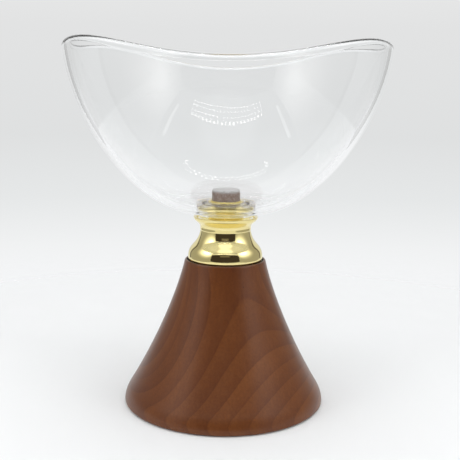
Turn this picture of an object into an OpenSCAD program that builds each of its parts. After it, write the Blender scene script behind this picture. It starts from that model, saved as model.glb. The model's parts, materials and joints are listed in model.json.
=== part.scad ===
// Table oil lamp: a turned wooden cone holds a steel fuel tank, a polished brass collar
// covers the tank's neck, and a blown glass bowl with a saddle-shaped rim stands in the
// collar as a wind screen round one thick wick.
// Z is up, the origin is on the lamp's axis at the table, and the rim dips towards -Y.

/* [Wooden base] */
// Radius of the foot
base_r = 49.95; // [49:0.05:51]
// Height of the wood's top face
base_h = 72.5; // [72:0.1:73]
// Radius of the wood's top edge
base_top_r = 20.2; // [19.9:0.1:21]
// How far the felt holds the wood off the table
base_lift = 0.4; // [0.2:0.1:0.8]
// Radius of the hollow that takes the tank
cavity_r = 26; // [25.5:0.1:26.5]

/* [Fuel tank] */
// Outer radius of the tank
tank_r = 25; // [22:0.1:25.3]
// Sheet thickness of the tank
tank_wall = 0.6; // [0.4:0.1:0.8]
// Height of the tank's lower edge
tank_low = 8; // [7:0.5:10]
// Height of the tank's shoulder, which bears on the wood
tank_top = 41; // [40:0.1:41.5]

/* [Neck] */
// Outer radius of the threaded neck tube
neck_r = 10.2; // [10:0.05:10.25]
// Inner radius of the neck tube, where the burner drops in
neck_bore_r = 8.15; // [8.12:0.01:8.2]
// Height of the neck tube's top
neck_top = 89.8; // [89:0.1:90]

/* [Brass collar] */
// Radius of the collar's foot
collar_foot_r = 18.55; // [18:0.05:18.8]
// Radius of the collar's waist
waist_r = 12.6; // [12.4:0.1:13]
// Radius of the collar's lip
lip_r = 15.85; // [15.5:0.05:16.2]
// Height of the lip
lip_z = 93.7; // [93.4:0.1:94]

/* [Glass bowl] */
// Largest outer radius of the bowl
bowl_r = 78.1; // [70:0.1:85]
// Wall thickness of the glass
glass_wall = 3.5; // [3:0.1:4]
// Outer radius of the short neck under the bowl
glass_neck_r = 13.4; // [13.2:0.1:13.6]
// Radius of the hole through the glass neck
glass_bore_r = 8.95; // [8.9:0.05:9.1]
// Height of the glass floor inside the bowl
glass_floor = 100.5; // [100:0.1:101]
// Height of the rim at the front and back, where it dips
rim_dip_z = 168.4; // [150:0.1:172]
// How far the rim's two crests rise above the dips
rim_rise = 9; // [0:0.1:10]
// Distance of the crests from the middle, along X
rim_crest_x = 65; // [55:1:75]

/* [Burner and wick] */
// Radius of the wick
wick_r = 6.97; // [6.9:0.01:7]
// Height of the wick's top
wick_top = 107.1; // [104:0.1:112]
// Height of the wick tube's top
tube_top = 101; // [100.6:0.1:103]
// Wall thickness of the wick tube
tube_wall = 0.5; // [0.4:0.05:0.52]

/* [Hidden] */
$fn = 96;

walnut = [0.36, 0.20, 0.12];
brass = [0.85, 0.72, 0.42];
steel = [0.70, 0.71, 0.73];
dark = [0.10, 0.10, 0.11];

// base closure
plate_r = 44.7;
plate_low = 1.6;
plate_high = 3.6;
screw_ring_r = 38;
screw_shank_r = 1.6;
screw_head_r = 3.4;
screw_tip_z = 13;
// wooden top
rebate_r = 19.1;
rebate_z = base_h - 1;
neck_hole_r = neck_r + 0.4;
// parts clamped on the neck
washer_h = 1.5;
washer_r = 16.4;
nut_across_flats = 25;
nut_h = 4.5;
seat_h = 0.7;
seat_in_r = 16.8;
// collar
thread_gap = 0.1;
collar_low = rebate_z + seat_h;
collar_wall = 1.2;
bell_low = 73.6;
waist_low = 87.3;
waist_high = 88.5;
web_low = 84.2;
cup_floor = 90.2;
// glass seat
gasket_in_r = 10.4;
gasket_out_r = 12.2;
glass_low = 91.6;
glass_under = 95.8;
profile_top = 182;
// burner
plug_r = neck_bore_r - 0.05;
plug_low = 79;
sleeve_low = 91;
sleeve_r = 8.8;
sleeve_top = 100.4;
tube_in_r = wick_r + 0.08;
tube_r = tube_in_r + tube_wall;
tube_low = 76;
wick_low = 62;
tie_wire_r = 0.4;
feed_r = 3.5;
feed_low = 18;

// A point on a cubic Bezier curve with control points p, and n + 1 such points in a row
function on_curve(p, t) = pow(1 - t, 3) * p[0] + 3 * pow(1 - t, 2) * t * p[1]
    + 3 * (1 - t) * t * t * p[2] + pow(t, 3) * p[3];
function curve(p, n) = [for (i = [0 : n]) on_curve(p, i / n)];

// Height of the glass rim above the table at distance x from the middle
rim_roundness = 1.607;
function rim_shape(t) = rim_roundness * pow(t, 2) + (3 - 2 * rim_roundness) * pow(t, 4)
    + (rim_roundness - 2) * pow(t, 6);
function rim_z(x) = rim_dip_z + rim_rise * rim_shape(x / rim_crest_x);

// The wall's height z, eased into the glass floor where it would pass below it
floor_ease = 0.6;
function above_floor(z) =
    (z + glass_floor + sqrt(pow(z - glass_floor, 2) + pow(floor_ease, 2))) / 2;

// Flat ring between two radii
module ring(r_out, r_in, low, high) {
    translate([0, 0, low]) difference() {
        cylinder(r = r_out, h = high - low);
        translate([0, 0, -1]) cylinder(r = r_in, h = high - low + 2);
    }
}

// Places its children at the three base screws
module at_screws() {
    for (i = [0 : 2]) rotate([0, 0, 90 + 120 * i]) translate([screw_ring_r, 0, 0]) children();
}

module screw_shape(gap) {
    translate([0, 0, plate_low - gap])
        cylinder(r1 = screw_head_r + gap, r2 = screw_shank_r + gap,
                 h = screw_head_r - screw_shank_r);
    translate([0, 0, plate_low]) cylinder(r = screw_shank_r + gap, h = screw_tip_z - plate_low - 3);
    translate([0, 0, screw_tip_z - 3])
        cylinder(r1 = screw_shank_r + gap, r2 = 0.3 + gap, h = 3 + gap);
}

// Turned cone, hollow from below for the tank and bored through at the top for its neck
module wood_base() {
    foot_top = [47.6, 8.2];
    flank = curve([foot_top, [37.2, 25.1], [24.6, 52.5], [base_top_r, base_h - 0.9]], 20);
    foot = curve([[base_r, base_lift + 1], [base_r, 3.6], [48.9, 6.1], foot_top], 5);
    top_edge = curve([[base_top_r, base_h - 0.9], [base_top_r - 0.15, base_h - 0.3],
                      [base_top_r - 0.4, base_h], [base_top_r - 0.7, base_h]], 4);
    color(walnut) difference() {
        rotate_extrude() polygon(concat([[0, base_lift], [base_r - 1, base_lift]], foot,
                                        flank, top_edge, [[0, base_h]]));
        translate([0, 0, base_lift - 1]) cylinder(r = plate_r + 0.3, h = plate_high - base_lift + 1);
        translate([0, 0, plate_low]) cylinder(r = cavity_r, h = tank_top - plate_low);
        translate([0, 0, plate_low]) cylinder(r = neck_hole_r, h = base_h);
        translate([0, 0, rebate_z]) cylinder(r = rebate_r, h = 2);
        at_screws() screw_shape(0.05);
    }
}

module felt_foot() {
    color(dark) cylinder(r = plate_r - 0.7, h = plate_low);
}

module base_plate() {
    color(dark) difference() {
        translate([0, 0, plate_low]) cylinder(r = plate_r, h = plate_high - plate_low);
        at_screws() screw_shape(0.1);
    }
}

module base_plate_screws() {
    color(steel) at_screws() screw_shape(0);
}

// Deep-drawn can, open below, with a rounded shoulder round the neck's hole
module tank_body() {
    shoulder_r = 3;
    outer = [for (a = [0 : 15 : 90]) [tank_r - shoulder_r + shoulder_r * cos(a),
                                      tank_top - shoulder_r + shoulder_r * sin(a)]];
    inner = [for (a = [90 : -15 : 0])
        [tank_r - shoulder_r + (shoulder_r - tank_wall) * cos(a),
         tank_top - shoulder_r + (shoulder_r - tank_wall) * sin(a)]];
    color(steel) rotate_extrude() polygon(concat(
        [[tank_r, tank_low]], outer,
        [[neck_r + 0.05, tank_top], [neck_r + 0.05, tank_top - tank_wall]], inner,
        [[tank_r - tank_wall, tank_low]]));
}

// Pressed pan that closes the can
module tank_bottom() {
    pan_r = tank_r - tank_wall - 0.05;
    pan_z = tank_low + 2.6;
    color(steel) rotate_extrude() polygon([
        [0, pan_z - tank_wall], [pan_r - tank_wall, pan_z - tank_wall],
        [pan_r - tank_wall, tank_low], [pan_r, tank_low], [pan_r, pan_z], [0, pan_z]]);
}

// Neck tube with a flange brazed under the tank's shoulder
module tank_neck() {
    flange_h = 1.2;
    flange_low = tank_top - tank_wall - flange_h;
    color(steel) difference() {
        union() {
            translate([0, 0, flange_low]) cylinder(r = neck_r, h = neck_top - flange_low);
            translate([0, 0, flange_low]) cylinder(r = neck_r + 2.4, h = flange_h);
        }
        translate([0, 0, flange_low - 1]) cylinder(r = neck_bore_r, h = neck_top);
    }
}

module tank_pad() {
    color([0.25, 0.25, 0.27]) translate([0, 0, plate_high])
        cylinder(r = tank_r - 0.5, h = tank_low - plate_high);
}

module neck_washer() {
    color(steel) ring(washer_r, neck_hole_r - 0.2, rebate_z, rebate_z + washer_h);
}

module neck_locknut() {
    color(steel) translate([0, 0, rebate_z + washer_h]) difference() {
        cylinder(r = nut_across_flats / 2 / cos(30), h = nut_h, $fn = 6);
        translate([0, 0, -1]) cylinder(r = neck_r + 0.05, h = nut_h + 2);
    }
}

module seat_washer() {
    color(dark) ring(rebate_r - 0.15, seat_in_r, rebate_z, rebate_z + seat_h);
}

// Bell-shaped collar: hollow below to cover the nut, screwed on the neck at its waist,
// and dished above to hold the glass
module brass_collar() {
    bell_in_r = collar_foot_r - collar_wall;
    bell = curve([[collar_foot_r, bell_low], [collar_foot_r, 80.6],
                  [waist_r + 1, 79.5], [waist_r - 0.1, waist_low]], 16);
    flare = curve([[waist_r, waist_high], [waist_r, 91.2],
                   [lip_r - 0.1, 91.5], [lip_r, lip_z]], 12);
    dish = curve([[lip_r - 1.4, lip_z - 0.2], [lip_r - 1.45, 91.3],
                  [gasket_out_r + 0.15, 91.1], [gasket_out_r + 0.1, cup_floor]], 8);
    bell_inside = curve([[waist_r - collar_wall, web_low], [waist_r - collar_wall, 81],
                         [bell_in_r, 79], [bell_in_r, bell_low]], 12);
    color(brass) rotate_extrude() polygon(concat(
        [[collar_foot_r - 0.35, collar_low], [collar_foot_r - 0.1, collar_low + 0.25]],
        bell, [[waist_r, waist_low + 0.15]], flare,
        [[lip_r - 0.3, lip_z + 0.3], [lip_r - 1.1, lip_z + 0.3]], dish,
        [[neck_r + thread_gap, cup_floor], [neck_r + thread_gap, web_low]],
        bell_inside, [[bell_in_r, collar_low]]));
}

module glass_gasket() {
    color([0.85, 0.86, 0.86]) ring(gasket_out_r, gasket_in_r, cup_floor, glass_low);
}

// Blown bowl: a surface of revolution with a short neck, its rim cut to a saddle
module glass_bowl() {
    mouth_r = bowl_r - glass_wall;
    corner = 1.4;
    neck_edge = [for (a = [0 : 15 : 90]) [glass_neck_r - corner + corner * sin(a),
                                          glass_low + corner - corner * cos(a)]];
    fillet = curve([[glass_neck_r, 94.4], [glass_neck_r, 95.5], [14.4, 95.75],
                    [16, glass_under]], 6);
    outside = curve([[16, glass_under], [45, 97.85], [bowl_r, 141.2], [bowl_r, profile_top]], 30);
    inside = [for (p = curve([[mouth_r, profile_top], [mouth_r, 143.2], [43.6, 101.2], [15, 99.3]], 36))
        [p[0], above_floor(p[1])]];
    bore_edge = curve([[glass_bore_r + 0.8, glass_floor], [glass_bore_r + 0.4, glass_floor],
                       [glass_bore_r, glass_floor - 0.4], [glass_bore_r, glass_floor - 0.8]], 4);
    rim_step = 3;
    rim_end = 30 * rim_step;
    color([0.85, 0.92, 0.94, 0.4]) difference() {
        rotate_extrude() polygon(concat([[glass_bore_r, glass_low]], neck_edge, fillet, outside,
                                        inside, bore_edge));
        translate([0, rim_end, 0]) rotate([90, 0, 0]) linear_extrude(height = 2 * rim_end)
            polygon(concat([for (x = [-rim_end : rim_step : rim_end]) [x, rim_z(x)]],
                           [[rim_end, profile_top + 10], [-rim_end, profile_top + 10]]));
    }
}

// Plug that drops into the neck, with a wider sleeve that fills the hole in the glass
module burner_plug() {
    color(brass) difference() {
        union() {
            translate([0, 0, plug_low]) cylinder(r = plug_r, h = sleeve_low - plug_low);
            translate([0, 0, sleeve_low]) cylinder(r = sleeve_r, h = sleeve_top - sleeve_low);
        }
        translate([0, 0, plug_low - 1]) cylinder(r = tube_r + 0.02, h = sleeve_top - plug_low + 2);
    }
}

module burner_seal() {
    color(dark) ring(sleeve_r - 0.05, plug_r + 0.1, neck_top, sleeve_low);
}

module wick_tube() {
    color(brass) ring(tube_r, tube_in_r, tube_low, tube_top);
}

module wick() {
    edge = 0.9;
    color([0.50, 0.44, 0.41]) rotate_extrude() polygon(concat(
        [[0, wick_low], [wick_r, wick_low]],
        [for (a = [0 : 15 : 90]) [wick_r - edge + edge * cos(a), wick_top - edge + edge * sin(a)]],
        [[0, wick_top]]));
}

// Two turns of wire that bind the wick's lower end to the feed wick
module wick_tie() {
    color(steel) for (z = [wick_low + 1, wick_low + 2.2])
        translate([0, 0, z]) rotate_extrude()
            translate([wick_r + 0.03 + tie_wire_r, 0]) circle(r = tie_wire_r, $fn = 24);
}

module feed_wick() {
    color([0.86, 0.84, 0.78]) translate([0, 0, feed_low]) cylinder(r = feed_r, h = wick_low - feed_low);
}

wood_base();
felt_foot();
base_plate();
base_plate_screws();
tank_body();
tank_bottom();
tank_neck();
tank_pad();
neck_washer();
neck_locknut();
seat_washer();
brass_collar();
glass_gasket();
glass_bowl();
burner_plug();
burner_seal();
wick_tube();
wick();
wick_tie();
feed_wick();
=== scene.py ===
import json
import math

import bmesh
import bpy
from mathutils import Matrix, Vector


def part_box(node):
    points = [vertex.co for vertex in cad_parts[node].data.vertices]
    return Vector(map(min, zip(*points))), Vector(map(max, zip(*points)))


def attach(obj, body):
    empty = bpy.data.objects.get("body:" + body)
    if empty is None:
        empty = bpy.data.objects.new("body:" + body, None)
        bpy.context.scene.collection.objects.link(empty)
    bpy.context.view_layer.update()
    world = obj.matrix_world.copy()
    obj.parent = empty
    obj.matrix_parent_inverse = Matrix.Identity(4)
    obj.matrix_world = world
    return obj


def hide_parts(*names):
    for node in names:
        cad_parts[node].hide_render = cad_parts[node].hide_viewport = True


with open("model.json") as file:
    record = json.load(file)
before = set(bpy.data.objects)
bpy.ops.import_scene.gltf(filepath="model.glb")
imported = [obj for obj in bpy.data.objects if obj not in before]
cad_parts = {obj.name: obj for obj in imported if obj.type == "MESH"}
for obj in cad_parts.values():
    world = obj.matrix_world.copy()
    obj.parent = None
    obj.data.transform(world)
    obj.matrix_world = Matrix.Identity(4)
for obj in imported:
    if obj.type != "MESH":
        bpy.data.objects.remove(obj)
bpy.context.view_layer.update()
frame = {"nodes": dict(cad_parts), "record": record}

# Shapes below are in millimetres in the row frame, and are scaled to metres when a mesh is made.
MM = 0.001
BODY_OF = {node: body for body, nodes in frame["record"]["behaviour"]["bodies"].items()
           for node in nodes}


# ---------------------------------------------------------------- the frame's sizes

def extent(name):
    """Outer radius, lowest and highest height of a CAD node, in millimetres."""
    low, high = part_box(name)
    return high.x / MM, low.z / MM, high.z / MM


WOOD_R, WOOD_LOW, WOOD_HIGH = extent("wood_base")
COLLAR_R, COLLAR_LOW, COLLAR_HIGH = extent("brass_collar")
GLASS_LOW = extent("glass_bowl")[1]
GASKET_R, GASKET_LOW, GASKET_HIGH = extent("glass_gasket")
WICK_R, WICK_LOW, WICK_TOP = extent("wick")
TUBE_R, TUBE_LOW, TUBE_TOP = extent("wick_tube")
WASHER_R, WASHER_LOW, WASHER_HIGH = extent("seat_washer")
SLEEVE_R, PLUG_LOW, SLEEVE_TOP = extent("burner_plug")
SEAL_R, SEAL_LOW, SEAL_HIGH = extent("burner_seal")
TANK_R, _, TANK_TOP = extent("tank_body")
PLATE_R, _, PLATE_HIGH = extent("base_plate")
NECK_R = 10.2


# ---------------------------------------------------------------- outlines

def on_curve(points, t):
    """The point at t on a cubic Bezier curve through four (radius, height) points."""
    weights = ((1 - t) ** 3, 3 * (1 - t) ** 2 * t, 3 * (1 - t) * t ** 2, t ** 3)
    return tuple(sum(w * p[axis] for w, p in zip(weights, points)) for axis in (0, 1))


def curve(points, count):
    return [on_curve(points, i / count) for i in range(count + 1)]


def rounded(corners, steps=5):
    """An outline from (radius, height, rounding) corners, each eased over its rounding."""
    result = []
    count = len(corners)
    for i, (r, z, ease) in enumerate(corners):
        here = Vector((r, z))
        if ease == 0:
            result.append((r, z))
            continue
        before = Vector(corners[i - 1][:2])
        after = Vector(corners[(i + 1) % count][:2])
        start = here + (before - here).normalized() * ease
        end = here + (after - here).normalized() * ease
        for k in range(steps + 1):
            t = k / steps
            p = start * (1 - t) ** 2 + here * 2 * t * (1 - t) + end * t ** 2
            result.append((p.x, p.y))
    return result


def finely(outline, step, closed=True):
    """The outline with points added so that no side is longer than step."""
    result = []
    sides = len(outline) if closed else len(outline) - 1
    for i in range(sides):
        a = Vector(outline[i])
        b = Vector(outline[(i + 1) % len(outline)])
        pieces = max(1, math.ceil((b - a).length / step))
        result += [tuple(a.lerp(b, k / pieces)) for k in range(pieces)]
    if not closed:
        result.append(outline[-1])
    return result


# ---------------------------------------------------------------- meshes

def mesh_object(name, verts, faces):
    mesh = bpy.data.meshes.new(name)
    mesh.from_pydata([Vector(v) * MM for v in verts], [], faces)
    build = bmesh.new()
    build.from_mesh(mesh)
    bmesh.ops.recalc_face_normals(build, faces=build.faces)
    build.to_mesh(mesh)
    build.free()
    mesh.polygons.foreach_set("use_smooth", [True] * len(mesh.polygons))
    piece = bpy.data.objects.new(name, mesh)
    bpy.context.scene.collection.objects.link(piece)
    return piece


def turned(name, outline, segments=160, wobble=None):
    """A solid of revolution about Z. Outline points on the axis become single poles.
    wobble(angle, radius, height) gives a moved (radius, height)."""
    verts, rows, faces = [], [], []
    for r, z in outline:
        if r < 1e-6:
            rows.append([len(verts)] * segments)
            verts.append((0, 0, z))
            continue
        row = []
        for k in range(segments):
            angle = 2 * math.pi * k / segments
            rr, zz = wobble(angle, r, z) if wobble else (r, z)
            row.append(len(verts))
            verts.append((rr * math.cos(angle), rr * math.sin(angle), zz))
        rows.append(row)
    open_ended = outline[0][0] < 1e-6
    for i in range(len(rows) - 1 if open_ended else len(rows)):
        a, b = rows[i], rows[(i + 1) % len(rows)]
        for k in range(segments):
            n = (k + 1) % segments
            face = []
            for v in (a[k], a[n], b[n], b[k]):
                if v not in face:
                    face.append(v)
            faces.append(face)
    return mesh_object(name, verts, faces)


def takes_place_of(piece, node, finish):
    """The piece rides with the CAD node's body, stands for it, and takes the finish."""
    piece.data.materials.clear()
    piece.data.materials.append(finish)
    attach(piece, BODY_OF[node])
    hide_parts(node)


# ---------------------------------------------------------------- node helpers

def new_finish(name):
    finish = bpy.data.materials.new(name)
    finish.use_nodes = True
    return finish, finish.node_tree, finish.node_tree.nodes["Principled BSDF"]


def add(tree, kind, inputs=None, **settings):
    """Adds a node. A socket given as an input is linked, any other value is set."""
    node = tree.nodes.new(kind)
    for key, value in settings.items():
        setattr(node, key, value)
    for key, value in (inputs or {}).items():
        if isinstance(value, bpy.types.NodeSocket):
            tree.links.new(value, node.inputs[key])
        else:
            node.inputs[key].default_value = value
    return node


def maths(tree, operation, *values):
    return add(tree, "ShaderNodeMath", dict(enumerate(values)), operation=operation).outputs[0]


def place(tree):
    return add(tree, "ShaderNodeTexCoord").outputs["Object"]


def stretched(tree, scale):
    return add(tree, "ShaderNodeMapping", {"Vector": place(tree), "Scale": scale}).outputs["Vector"]


def noise(tree, vector, scale, detail=3.0, rough=0.5):
    return add(tree, "ShaderNodeTexNoise", {"Vector": vector, "Scale": scale, "Detail": detail,
                                            "Roughness": rough}).outputs["Fac"]


def grey(level):
    return (level, level, level)


def ramp(tree, value, stops):
    node = add(tree, "ShaderNodeValToRGB", {"Fac": value})
    elements = node.color_ramp.elements
    while len(elements) < len(stops):
        elements.new(0.5)
    for element, (position, colour) in zip(elements, stops):
        element.position = position
        element.color = (*colour, 1)
    return node.outputs["Color"]


def spread(tree, value, low, high, start=0.3, end=0.7):
    node = add(tree, "ShaderNodeMapRange", {"Value": value, "From Min": start, "From Max": end,
                                            "To Min": low, "To Max": high})
    return node.outputs["Result"]


def blend_colours(tree, amount, first, second):
    """From first to second as amount goes from 0 to 1; each may be a socket or a colour."""
    node = add(tree, "ShaderNodeMix", {"Factor": amount}, data_type="RGBA")
    for index, colour in ((6, first), (7, second)):
        if isinstance(colour, bpy.types.NodeSocket):
            tree.links.new(colour, node.inputs[index])
        else:
            node.inputs[index].default_value = (*colour, 1)
    return node.outputs[2]


def bump(tree, shader, height, distance, strength=1.0):
    node = add(tree, "ShaderNodeBump", {"Height": height, "Distance": distance,
                                        "Strength": strength})
    tree.links.new(node.outputs["Normal"], shader.inputs["Normal"])


def set_all(shader, **values):
    for key, value in values.items():
        shader.inputs[key.replace("_", " ")].default_value = value


# ---------------------------------------------------------------- finishes

# The log's middle line passes this point, in millimetres, and leans back and to the right
PITH_POINT = Vector((-11.0, 0.0, 7.5))
PITH_LEAN = Vector((0.34, 1.0, 2.88))
RING_WAVER = 0.6 * MM
# Ring 20 starts 34.4 mm from the pith and is 1.9 mm wide, and each later one is 0.13 mm wider
RING_NUMBER, RING_START, RING_WIDTH, RING_GROWTH = 20, 34.4, 1.9, 0.13


def wood_finish():
    """Satin red-brown wood whose growth rings stand round a leaning pith."""
    finish, tree, shader = new_finish("satin_wood")
    # Each point's distance from the pith, in millimetres, a little disturbed
    warp = add(tree, "ShaderNodeTexNoise", {"Vector": place(tree), "Scale": 30.0, "Detail": 1.0})
    shift = add(tree, "ShaderNodeVectorMath", {0: warp.outputs["Color"], 1: (0.5, 0.5, 0.5)},
                operation="SUBTRACT").outputs[0]
    shift = add(tree, "ShaderNodeVectorMath", {0: shift, "Scale": RING_WAVER},
                operation="SCALE").outputs[0]
    moved = add(tree, "ShaderNodeVectorMath", {0: place(tree), 1: shift}, operation="ADD").outputs[0]
    out = add(tree, "ShaderNodeVectorMath", {0: moved, 1: PITH_POINT * MM},
              operation="SUBTRACT").outputs[0]
    across = add(tree, "ShaderNodeVectorMath", {0: out, 1: PITH_LEAN.normalized()},
                 operation="CROSS_PRODUCT").outputs[0]
    away = add(tree, "ShaderNodeVectorMath", {0: across}, operation="LENGTH").outputs["Value"]
    away = maths(tree, "DIVIDE", away, MM)
    # As the rings widen outwards, the ring number grows as the root of the distance
    squared = maths(tree, "MULTIPLY_ADD", away, 2 * RING_GROWTH,
                    RING_WIDTH ** 2 - 2 * RING_GROWTH * RING_START)
    root = maths(tree, "SQRT", maths(tree, "MAXIMUM", squared, 0.02))
    number = maths(tree, "MULTIPLY_ADD", root, 1 / RING_GROWTH,
                   RING_NUMBER - RING_WIDTH / RING_GROWTH)
    season = maths(tree, "FRACT", number)
    year = add(tree, "ShaderNodeTexWhiteNoise", {"W": maths(tree, "FLOOR", number)},
               noise_dimensions="1D").outputs["Value"]
    tone = ramp(tree, season, [(0.0, grey(0.40)), (0.05, grey(0.66)), (0.2, grey(0.64)),
                               (0.6, grey(0.56)), (0.9, grey(0.47)), (1.0, grey(0.38))])
    tone = maths(tree, "ADD", tone, spread(tree, year, -0.07, 0.05, 0.0, 1.0))
    cloud = noise(tree, stretched(tree, (1.0, 0.7, 0.5)), 34.0, 3.0, 0.5)
    tone = maths(tree, "ADD", tone, spread(tree, cloud, -0.10, 0.10))
    fibre = noise(tree, stretched(tree, (1.0, 0.8, 0.10)), 900.0, 3.0, 0.6)
    tone = maths(tree, "ADD", tone, spread(tree, fibre, -0.06, 0.06))
    mottle = noise(tree, place(tree), 1100.0, 1.0, 0.5)
    tone = maths(tree, "ADD", tone, spread(tree, mottle, -0.06, 0.06))
    colour = ramp(tree, tone, [(0.0, (0.054, 0.0115, 0.0014)), (0.5, (0.102, 0.0270, 0.0034)),
                               (1.0, (0.166, 0.0510, 0.0078))])
    # A few short dark pores
    cells = add(tree, "ShaderNodeTexVoronoi", {"Vector": stretched(tree, (1.0, 1.0, 0.6)),
                                               "Scale": 110.0})
    pore = spread(tree, cells.outputs["Distance"], 1.0, 0.0, 0.018, 0.030)
    colour = blend_colours(tree, pore, colour, (0.012, 0.005, 0.003))
    tree.links.new(colour, shader.inputs["Base Color"])
    tree.links.new(spread(tree, fibre, 0.29, 0.34), shader.inputs["Roughness"])
    grain = maths(tree, "SUBTRACT", fibre, pore)
    bump(tree, shader, grain, 0.00002)
    set_all(shader, Specular_IOR_Level=0.4, Sheen_Weight=0.05, Sheen_Roughness=0.25)
    return finish


def brass_finish():
    """Polished pale brass with a faint haze and turning marks."""
    finish, tree, shader = new_finish("polished_brass")
    haze = noise(tree, place(tree), 90.0, 4.0)
    colour = ramp(tree, haze, [(0.3, (0.86, 0.735, 0.335)), (0.7, (0.91, 0.79, 0.385))])
    tree.links.new(colour, shader.inputs["Base Color"])
    tree.links.new(spread(tree, haze, 0.04, 0.085), shader.inputs["Roughness"])
    marks = noise(tree, stretched(tree, (1.0, 1.0, 60.0)), 45.0, 2.0)
    bump(tree, shader, marks, 0.000004)
    set_all(shader, Metallic=1.0)
    return finish


def glass_finish():
    """Clear blown glass, very slightly uneven."""
    finish, tree, shader = new_finish("clear_glass")
    waves = noise(tree, place(tree), 22.0, 1.0)
    bump(tree, shader, waves, 0.00035)
    smear = spread(tree, noise(tree, place(tree), 60.0, 3.0), 0.0, 0.006)
    # The rounded rim is hazier than the wall
    rim = add(tree, "ShaderNodeAttribute", attribute_name="rim").outputs["Fac"]
    tree.links.new(maths(tree, "MULTIPLY_ADD", rim, 0.22, smear), shader.inputs["Roughness"])
    set_all(shader, Base_Color=(0.990, 0.994, 0.995, 1), Transmission_Weight=1.0, IOR=1.47)
    return finish


def speckled(name, low, high, scale, rough, relief, stretch=(1.0, 1.0, 1.0), **values):
    """A finish whose colour, roughness and relief all follow one noise."""
    finish, tree, shader = new_finish(name)
    grain = noise(tree, stretched(tree, stretch), scale, 4.0, 0.6)
    tree.links.new(ramp(tree, grain, [(0.3, low), (0.7, high)]), shader.inputs["Base Color"])
    tree.links.new(spread(tree, grain, *rough), shader.inputs["Roughness"])
    bump(tree, shader, grain, relief)
    set_all(shader, **values)
    return finish


def wick_finish():
    """Grey-brown glass-fibre wick with upright strands, and a painted highlight: its top is painted
    paler and greyer, for light falling on it from above.
    """
    finish, tree, shader = new_finish("fibre_wick")
    strands = noise(tree, stretched(tree, (1.0, 1.0, 0.18)), 1500.0, 3.0, 0.65)
    specks = noise(tree, place(tree), 1300.0, 2.0, 0.6)
    mixed = maths(tree, "ADD", maths(tree, "MULTIPLY", strands, 0.45),
                  maths(tree, "MULTIPLY", specks, 0.55))
    side = ramp(tree, mixed, [(0.32, (0.23, 0.160, 0.135)), (0.5, (0.37, 0.290, 0.255)),
                              (0.68, (0.60, 0.54, 0.50))])
    # Painted highlight: a paler grey for the wick's top face and upper rim, standing in for the light
    # from above
    top = ramp(tree, specks, [(0.3, (0.52, 0.52, 0.51)), (0.7, (0.78, 0.78, 0.78))])
    height = add(tree, "ShaderNodeSeparateXYZ", {"Vector": place(tree)}).outputs["Z"]
    # Mask of the painted highlight: it rises from 1.9 mm below the wick's top to full at 0.6 mm below
    painted_top_light = spread(tree, height, 0.0, 1.0, (WICK_TOP - 1.9) * MM, (WICK_TOP - 0.6) * MM)
    tree.links.new(blend_colours(tree, painted_top_light, side, top), shader.inputs["Base Color"])
    tree.links.new(spread(tree, specks, 0.7, 0.9), shader.inputs["Roughness"])
    bump(tree, shader, mixed, 0.00010)
    set_all(shader, Sheen_Weight=0.3, Sheen_Roughness=0.5)
    return finish


# ---------------------------------------------------------------- the pieces

def wood_base(finish):
    foot_top = (47.6, 8.2)
    top_r = 20.2
    foot = curve([(WOOD_R, WOOD_LOW + 1), (WOOD_R, 3.6), (48.9, 6.1), foot_top], 16)
    flank = curve([foot_top, (37.2, 25.1), (24.6, 52.5), (top_r, WOOD_HIGH - 0.9)], 90)
    edge = curve([(top_r, WOOD_HIGH - 0.9), (top_r - 0.15, WOOD_HIGH - 0.3),
                  (top_r - 0.4, WOOD_HIGH), (top_r - 0.7, WOOD_HIGH)], 8)
    under = curve([(WOOD_R - 1, WOOD_LOW), (WOOD_R - 0.4, WOOD_LOW),
                   (WOOD_R, WOOD_LOW + 0.4), (WOOD_R, WOOD_LOW + 1)], 6)
    hollow = [(WASHER_R + 0.15, WOOD_HIGH), (WASHER_R + 0.15, WASHER_LOW),
              (NECK_R + 0.4, WASHER_LOW), (NECK_R + 0.4, TANK_TOP), (TANK_R + 1, TANK_TOP),
              (TANK_R + 1, PLATE_HIGH), (PLATE_R + 0.3, PLATE_HIGH), (PLATE_R + 0.3, WOOD_LOW)]
    outline = under + foot[1:] + flank[1:] + edge[1:] + hollow
    piece = turned("turned_wooden_base", finely(outline, 0.8), 256)
    takes_place_of(piece, "wood_base", finish)


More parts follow.
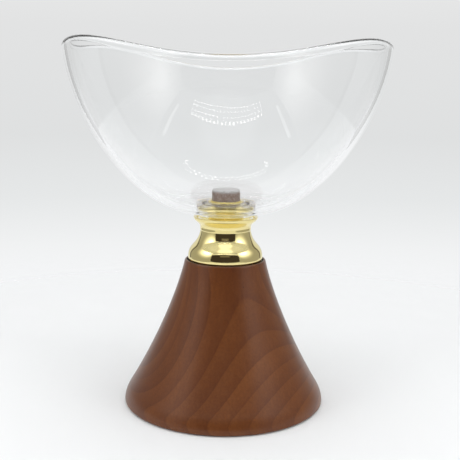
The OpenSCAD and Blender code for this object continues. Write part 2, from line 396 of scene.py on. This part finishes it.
def brass_collar(finish):
    wall = 1.2
    bell_low = 73.6
    waist_r = 12.6
    waist_low = 87.3
    waist_high = 88.5
    lip_r = 15.85
    lip_z = COLLAR_HIGH - 0.3
    web_low = 84.2
    foot = rounded([(COLLAR_R - wall, COLLAR_LOW, 0.2), (COLLAR_R - 0.2, COLLAR_LOW, 0.3),
                    (COLLAR_R, bell_low, 0)])
    bell = curve([(COLLAR_R, bell_low), (COLLAR_R, 80.6), (waist_r + 1, 79.5),
                  (waist_r - 0.1, waist_low)], 80)
    waist = curve([(waist_r - 0.1, waist_low), (waist_r - 0.02, waist_low + 0.02),
                   (waist_r, waist_low + 0.1), (waist_r, waist_low + 0.3)], 5)
    flare = curve([(waist_r, waist_high), (waist_r, 91.2), (lip_r - 0.1, 91.5), (lip_r, lip_z)], 50)
    lip = curve([(lip_r, lip_z), (lip_r, COLLAR_HIGH), (lip_r - 0.9, COLLAR_HIGH + 0.08),
                 (lip_r - 1.4, lip_z - 0.2)], 12)
    dish = curve([(lip_r - 1.4, lip_z - 0.2), (lip_r - 1.9, 91.5),
                  (GASKET_R + 0.3, 91.2), (GASKET_R + 0.1, GASKET_LOW)], 30)
    bore = [(NECK_R + 0.1, GASKET_LOW), (NECK_R + 0.1, web_low)]
    inside = curve([(waist_r - wall, web_low), (waist_r - wall, 81),
                    (COLLAR_R - wall, 79), (COLLAR_R - wall, bell_low)], 40)
    outline = foot + bell[1:] + waist[1:] + flare + lip[1:] + dish[1:] + bore + inside
    piece = turned("polished_brass_collar", finely(outline, 0.5), 200)
    takes_place_of(piece, "brass_collar", finish)


RIM_DIP, RIM_RISE, RIM_CREST, RIM_ROUNDNESS = 168.4, 9.0, 65.0, 1.607


def rim_height(x):
    """Height of the glass rim at distance x from the middle."""
    t = x / RIM_CREST
    return RIM_DIP + RIM_RISE * (RIM_ROUNDNESS * t ** 2 + (3 - 2 * RIM_ROUNDNESS) * t ** 4
                                 + (RIM_ROUNDNESS - 2) * t ** 6)


def glass_bowl(finish):
    """The blown bowl: its wall runs up both Bezier outlines and closes in a fire-polished rim."""
    bowl_r, wall, top = 78.1, 3.5, 182.0
    neck_r, bore_r, floor_z, floor_ease = 13.4, 8.95, 100.5, 0.6
    segments, wall_steps, rim_steps = 288, 84, 12
    outer = [(16.0, 95.8), (45.0, 97.85), (bowl_r, 141.2), (bowl_r, top)]
    inner = [(15.0, 99.3), (43.6, 101.2), (bowl_r - wall, 143.2), (bowl_r - wall, top)]
    neck = rounded([(bore_r, GLASS_LOW, 0.35), (neck_r, GLASS_LOW, 1.4), (neck_r, 94.4, 0)], 8)
    fillet = curve([(neck_r, 94.4), (neck_r, 95.5), (14.4, 95.75), outer[0]], 16)
    floor_edge = curve([(bore_r + 0.8, floor_z), (bore_r + 0.4, floor_z),
                        (bore_r, floor_z - 0.4), (bore_r, floor_z - 0.8)], 10)
    start = finely(neck + fillet[1:-1], 0.4, closed=False)

    def outside(t):
        return Vector(on_curve(outer, t))

    def inside(t):
        """The inner wall, eased into the glass floor where it would pass below it."""
        r, z = on_curve(inner, t)
        return Vector((r, (z + floor_z + math.hypot(z - floor_z, floor_ease)) / 2))

    end = finely([tuple(inside(0))] + floor_edge + [(bore_r, GLASS_LOW + 0.35)], 0.4,
                 closed=False)[1:-1]

    def rim_at(t, angle):
        a, b = outside(t), inside(t)
        middle = (a + b) / 2
        half = (a - b) / 2
        along = Vector((-half.y, half.x))
        height = middle.y + along.length
        return height - rim_height(middle.x * math.cos(angle)), middle, half, along

    verts, rows, on_rim = [], [], []
    for k in range(segments):
        angle = 2 * math.pi * k / segments
        low, high = 0.5, 1.0
        for _ in range(40):
            t = (low + high) / 2
            if rim_at(t, angle)[0] > 0:
                high = t
            else:
                low = t
        _, middle, half, along = rim_at(t, angle)
        section = list(start)
        section += [tuple(outside(t * i / wall_steps)) for i in range(wall_steps + 1)]
        for i in range(1, rim_steps):
            turn = math.pi * i / rim_steps
            section.append(tuple(middle + half * math.cos(turn) + along * math.sin(turn)))
        section += [tuple(inside(t * (1 - i / wall_steps))) for i in range(wall_steps + 1)]
        section += end
        rows.append([len(verts) + i for i in range(len(section))])
        verts += [(r * math.cos(angle), r * math.sin(angle), z) for r, z in section]
        first = len(start) + wall_steps + 1
        on_rim += [1.0 if first <= i < first + rim_steps - 1 else 0.0 for i in range(len(section))]
    faces = []
    count = len(rows[0])
    for k in range(segments):
        a, b = rows[k], rows[(k + 1) % segments]
        faces += [(a[i], b[i], b[(i + 1) % count], a[(i + 1) % count]) for i in range(count)]
    piece = mesh_object("blown_glass_bowl", verts, faces)
    piece.data.attributes.new("rim", "FLOAT", "POINT").data.foreach_set("value", on_rim)
    takes_place_of(piece, "glass_bowl", finish)


def ring_piece(name, node, r_out, r_in, low, high, ease, finish, segments=128):
    outline = rounded([(r_in, low, ease), (r_out, low, ease), (r_out, high, ease),
                       (r_in, high, ease)])
    piece = turned(name, finely(outline, 0.5), segments)
    takes_place_of(piece, node, finish)


def burner_plug(finish):
    bore = TUBE_R + 0.02
    plug_r = 8.1
    outline = rounded([(bore, PLUG_LOW, 0.1), (plug_r, PLUG_LOW, 0.3), (plug_r, SEAL_HIGH, 0.05),
                       (SLEEVE_R, SEAL_HIGH, 0.2), (SLEEVE_R, SLEEVE_TOP, 0.35),
                       (bore, SLEEVE_TOP, 0.05)])
    takes_place_of(turned("brass_burner_plug", finely(outline, 0.5)), "burner_plug", finish)


def wick(finish):
    """Thick round wick with shallow upright strands and a cut, slightly ragged top."""
    edge = 0.9
    strands = 34

    def wobble(angle, r, z):
        near_side = max(0.0, (r / WICK_R - 0.75) / 0.25)
        groove = 0.10 * (0.5 - 0.5 * math.cos(strands * angle + 0.6 * math.sin(5 * angle)))
        ragged = 0.12 * (0.5 + 0.5 * math.sin(3.1 * r + 7 * angle) * math.cos(2.3 * r - 4 * angle))
        top = 1.0 if z > WICK_TOP - edge else 0.0
        return r - groove * near_side, z - ragged * top

    side = rounded([(WICK_R, WICK_LOW, 0.3), (WICK_R, WICK_TOP, edge), (0, WICK_TOP, 0)], 8)[:-1]
    outline = finely([(0, WICK_LOW)] + side + [(0, WICK_TOP)], 0.6, closed=False)
    takes_place_of(turned("fibre_wick", outline, 204, wobble), "wick", finish)


# ---------------------------------------------------------------- stage, light and camera

def pale_floor():
    """A round of pale paper that fades into the backdrop's light."""
    bpy.ops.mesh.primitive_circle_add(vertices=128, radius=1.2, fill_type="NGON")
    floor = bpy.context.active_object
    floor.name = "paper_floor"
    finish, tree, shader = new_finish("pale_paper")
    set_all(shader, Base_Color=(0.855, 0.863, 0.869, 1), Roughness=0.9, Specular_IOR_Level=0.1)
    reach = add(tree, "ShaderNodeVectorMath", {0: place(tree)}, operation="LENGTH").outputs["Value"]
    fade = add(tree, "ShaderNodeMapRange", {"Value": reach, "From Min": 0.12, "From Max": 0.40,
                                            "To Min": 1.0, "To Max": 0.0},
               interpolation_type="SMOOTHSTEP")
    tree.links.new(fade.outputs["Result"], shader.inputs["Alpha"])
    floor.data.materials.append(finish)


# Direction of the soft lamp high in front, which the brass sees through the bowl
FRONT_LAMP = (0.0, -0.545, 0.839)


def backdrop_light():
    """The world: a pale backdrop that brightens below the horizon, and a soft lamp in front."""
    world = bpy.data.worlds.new("paper_sweep")
    bpy.context.scene.world = world
    world.use_nodes = True
    tree = world.node_tree
    tree.nodes.clear()
    direction = add(tree, "ShaderNodeTexCoord").outputs["Generated"]
    height = add(tree, "ShaderNodeSeparateXYZ", {"Vector": direction}).outputs["Z"]
    level = spread(tree, height, 0.0, 1.0, -0.5, 0.5)
    colour = ramp(tree, level, [
        (0.0, (0.925, 0.935, 0.94)), (0.28, (0.91, 0.92, 0.93)), (0.315, (0.88, 0.89, 0.895)),
        (0.375, (0.79, 0.805, 0.808)), (0.45, (0.738, 0.748, 0.750)),
        (0.58, (0.762, 0.767, 0.769)), (0.64, (0.805, 0.81, 0.81))])
    towards = add(tree, "ShaderNodeVectorMath", {0: direction, 1: FRONT_LAMP}, operation="DOT_PRODUCT")
    strength = spread(tree, towards.outputs["Value"], 1.0, 1.9, 0.915, 0.955)
    background = add(tree, "ShaderNodeBackground", {"Color": colour, "Strength": strength})
    output = add(tree, "ShaderNodeOutputWorld")
    tree.links.new(background.outputs[0], output.inputs["Surface"])


def aimed(thing, at, towards):
    thing.location = at
    thing.rotation_euler = (Vector(towards) - Vector(at)).to_track_quat("-Z", "Y").to_euler()


def soft_box(name, at, towards, width, height, radiance):
    """A lamp that lights the surfaces but doesn't show in them; the tent's cards show instead."""
    light = bpy.data.lights.new(name, "AREA")
    light.shape = "RECTANGLE"
    light.size = width
    light.size_y = height
    light.energy = radiance * math.pi * width * height
    thing = bpy.data.objects.new(name, light)
    bpy.context.scene.collection.objects.link(thing)
    aimed(thing, at, towards)
    thing.visible_camera = False
    thing.visible_glossy = False
    thing.visible_transmission = False


def only_in_reflections(thing):
    thing.visible_camera = False
    thing.visible_diffuse = False
    thing.visible_transmission = False
    thing.visible_shadow = False
    thing.visible_volume_scatter = False


def glow(name, colour, strength):
    finish, tree, shader = new_finish(name)
    set_all(shader, Base_Color=(0, 0, 0, 1), Roughness=1.0, Specular_IOR_Level=0.0,
            Emission_Color=(*colour, 1), Emission_Strength=strength)
    return finish


def wall_glow():
    """The tent's side wall: brightest high up towards the front, where its lamps are."""
    finish, tree, shader = new_finish("tent_wall")
    reach = 0.26
    spot = add(tree, "ShaderNodeMapping", {
        "Vector": place(tree), "Location": (0.0, 0.11 / reach, -0.33 / reach),
        "Scale": (0.0, 1 / reach, 1 / reach)}).outputs["Vector"]
    near = add(tree, "ShaderNodeTexGradient", {"Vector": spot}, gradient_type="QUADRATIC_SPHERE")
    level = spread(tree, near.outputs["Fac"], 0.42, 4.0, 0.0, 0.8)
    tree.links.new(level, shader.inputs["Emission Strength"])
    set_all(shader, Base_Color=(0, 0, 0, 1), Roughness=1.0, Specular_IOR_Level=0.0,
            Emission_Color=(1.0, 0.99, 0.97, 1))
    return finish


def card(name, corners, finish):
    """One or more four-cornered cards, given as a flat list of corners."""
    mesh = bpy.data.meshes.new(name)
    mesh.from_pydata(corners, [], [range(i, i + 4) for i in range(0, len(corners), 4)])
    mesh.materials.append(finish)
    thing = bpy.data.objects.new(name, mesh)
    bpy.context.scene.collection.objects.link(thing)
    only_in_reflections(thing)


def level_card(x_low, x_high, y_low, y_high, z):
    return [(x_low, y_low, z), (x_high, y_low, z), (x_high, y_high, z), (x_low, y_high, z)]


def upright_card(x_low, x_high, y, z_low, z_high):
    return [(x_low, y, z_low), (x_high, y, z_low), (x_high, y, z_high), (x_low, y, z_high)]


def studio():
    """A light tent open to the front: lamps that light the object, and cards that it reflects."""
    centre = (0.0, 0.0, 0.09)
    soft_box("top_box", (0.0, 0.0, 0.75), centre, 0.7, 0.7, 0.52)
    for side, name in ((-1, "left_box"), (1, "right_box")):
        soft_box(name, (0.42 * side, -0.30, 0.20), centre, 0.26, 0.42, 2.4)
    half, front, back, top = 0.28, -0.28, 0.22, 0.45
    # The dark room in front, with something paler in it
    room_y = -1.41
    card("dark_room", upright_card(-1.42, 1.42, room_y, -0.12, 1.43),
         glow("room_dark", (0.050, 0.040, 0.035), 1.0))
    card("room_window", upright_card(-0.42, 0.36, room_y + 0.01, 0.75, 1.08),
         glow("room_pale", (0.22, 0.20, 0.17), 1.0))
    wall = wall_glow()
    seam = glow("tent_seam", (0.16, 0.15, 0.14), 1.0)
    for side, name in ((-1, "left_wall"), (1, "right_wall")):
        x = half * side
        card(name, [(x, front, 0.02), (x, back, 0.02), (x, back, top), (x, front, top)], wall)
        seam_x = (half - 0.004) * side
        card(name + "_seam", [(seam_x, back, 0.02), (seam_x - 0.06 * side, back, 0.02),
                              (seam_x - 0.06 * side, back, top), (seam_x, back, top)], seam)
    card("tent_top", level_card(-half, half, front, back, top + 0.004),
         glow("top_cloth", (0.45, 0.45, 0.44), 1.0))
    # Small lamps under the top: four rows in front, a shallow U behind, and a soft strip at each side
    lamp, pitch = 0.0032, 0.0168
    lamps = []
    for y, count in ((-0.221, 21), (-0.199, 21), (-0.173, 21), (-0.152, 20), (-0.145, 20),
                     (0.106, 15), (0.126, 16)):
        for i in range(count):
            x = (i - (count - 1) / 2) * pitch
            lamps += level_card(x - lamp, x + lamp, y - lamp, y + lamp, top)
    strips = []
    for side in (-1, 1):
        for i in range(4):
            x, y = side * (0.130 + 0.008 * (i % 2)), 0.066 + i * 0.011
            lamps += level_card(x - lamp, x + lamp, y - lamp, y + lamp, top)
        x = side * 0.243
        strips += level_card(x - 2 * lamp, x + 2 * lamp, -0.15, 0.05, top)
    card("tent_lamps", lamps, glow("lamp_white", (1.0, 1.0, 1.0), 60.0))
    card("tent_strips", strips, glow("strip_white", (1.0, 1.0, 1.0), 2.5))


def lamp_camera():
    """The camera stands just above the wick's height and looks down at the lamp a little."""
    data = bpy.data.cameras.new("camera")
    data.sensor_width = 36.0
    data.lens = 62.14
    camera = bpy.data.objects.new("camera", data)
    bpy.context.scene.collection.objects.link(camera)
    tilt = math.radians(90 - 9.66)
    roll = math.radians(0.8)
    camera.matrix_world = (Matrix.Translation((0.0022, -0.3881, 0.153))
                           @ Matrix.Rotation(tilt, 4, "X") @ Matrix.Rotation(roll, 4, "Z"))
    bpy.context.scene.camera = camera


# ---------------------------------------------------------------- assembly

wood = wood_finish()
brass = brass_finish()
glass = glass_finish()
fibre = wick_finish()
felt = speckled("black_felt", (0.012, 0.012, 0.012), (0.05, 0.05, 0.052), 1500.0, (0.9, 1.0), 0.0002,
                Sheen_Weight=0.4)
paint = speckled("black_paint", (0.02, 0.02, 0.022), (0.035, 0.035, 0.037), 700.0, (0.35, 0.5), 0.00002)
steel = speckled("brushed_steel", (0.50, 0.50, 0.51), (0.66, 0.66, 0.67), 900.0, (0.22, 0.38),
                 0.00001, (1.0, 1.0, 30.0), Metallic=1.0)
foam = speckled("grey_foam", (0.03, 0.03, 0.033), (0.09, 0.09, 0.095), 1200.0, (0.85, 0.98), 0.0003)
washer_fibre = speckled("dark_fibre", (0.012, 0.010, 0.009), (0.03, 0.025, 0.022), 900.0, (0.7, 0.9),
                        0.00005)
silicone = speckled("clear_silicone", (0.88, 0.88, 0.86), (0.95, 0.95, 0.93), 300.0, (0.12, 0.22),
                    0.00002, Transmission_Weight=0.9, IOR=1.41)
rubber = speckled("black_rubber", (0.012, 0.012, 0.012), (0.03, 0.03, 0.03), 500.0, (0.45, 0.6),
                  0.00002)
cotton = speckled("cotton_cord", (0.55, 0.52, 0.45), (0.80, 0.77, 0.70), 1400.0, (0.85, 0.98),
                  0.0003, (1.0, 1.0, 0.4), Sheen_Weight=0.3)

wood_base(wood)
brass_collar(brass)
glass_bowl(glass)
ring_piece("glass_seat_gasket", "glass_gasket", GASKET_R, 10.4, GASKET_LOW, GASKET_HIGH, 0.3,
           silicone)
ring_piece("collar_seat_washer", "seat_washer", WASHER_R, 16.8, WASHER_LOW, WASHER_HIGH, 0.15,
           washer_fibre)
ring_piece("brass_wick_tube", "wick_tube", TUBE_R, WICK_R + 0.08, TUBE_LOW, TUBE_TOP, 0.2, brass)
ring_piece("burner_shoulder_seal", "burner_seal", SEAL_R, 8.2, SEAL_LOW, SEAL_HIGH, 0.2, rubber)
burner_plug(brass)
wick(fibre)
for node, finish in {"felt_foot": felt, "base_plate": paint, "base_plate_screws": steel,
                     "tank_body": steel, "tank_bottom": steel, "tank_neck": steel,
                     "tank_pad": foam, "neck_washer": steel, "neck_locknut": steel,
                     "wick_tie": steel, "feed_wick": cotton}.items():
    slots = frame["nodes"][node].data.materials
    slots.clear()
    slots.append(finish)

pale_floor()
backdrop_light()
studio()
lamp_camera()
bpy.context.scene.view_settings.view_transform = "Standard"
# Light crosses the bowl's walls many times before it leaves the glass
paths = bpy.context.scene.cycles
paths.max_bounces = 64
paths.glossy_bounces = 48
paths.transmission_bounces = 64
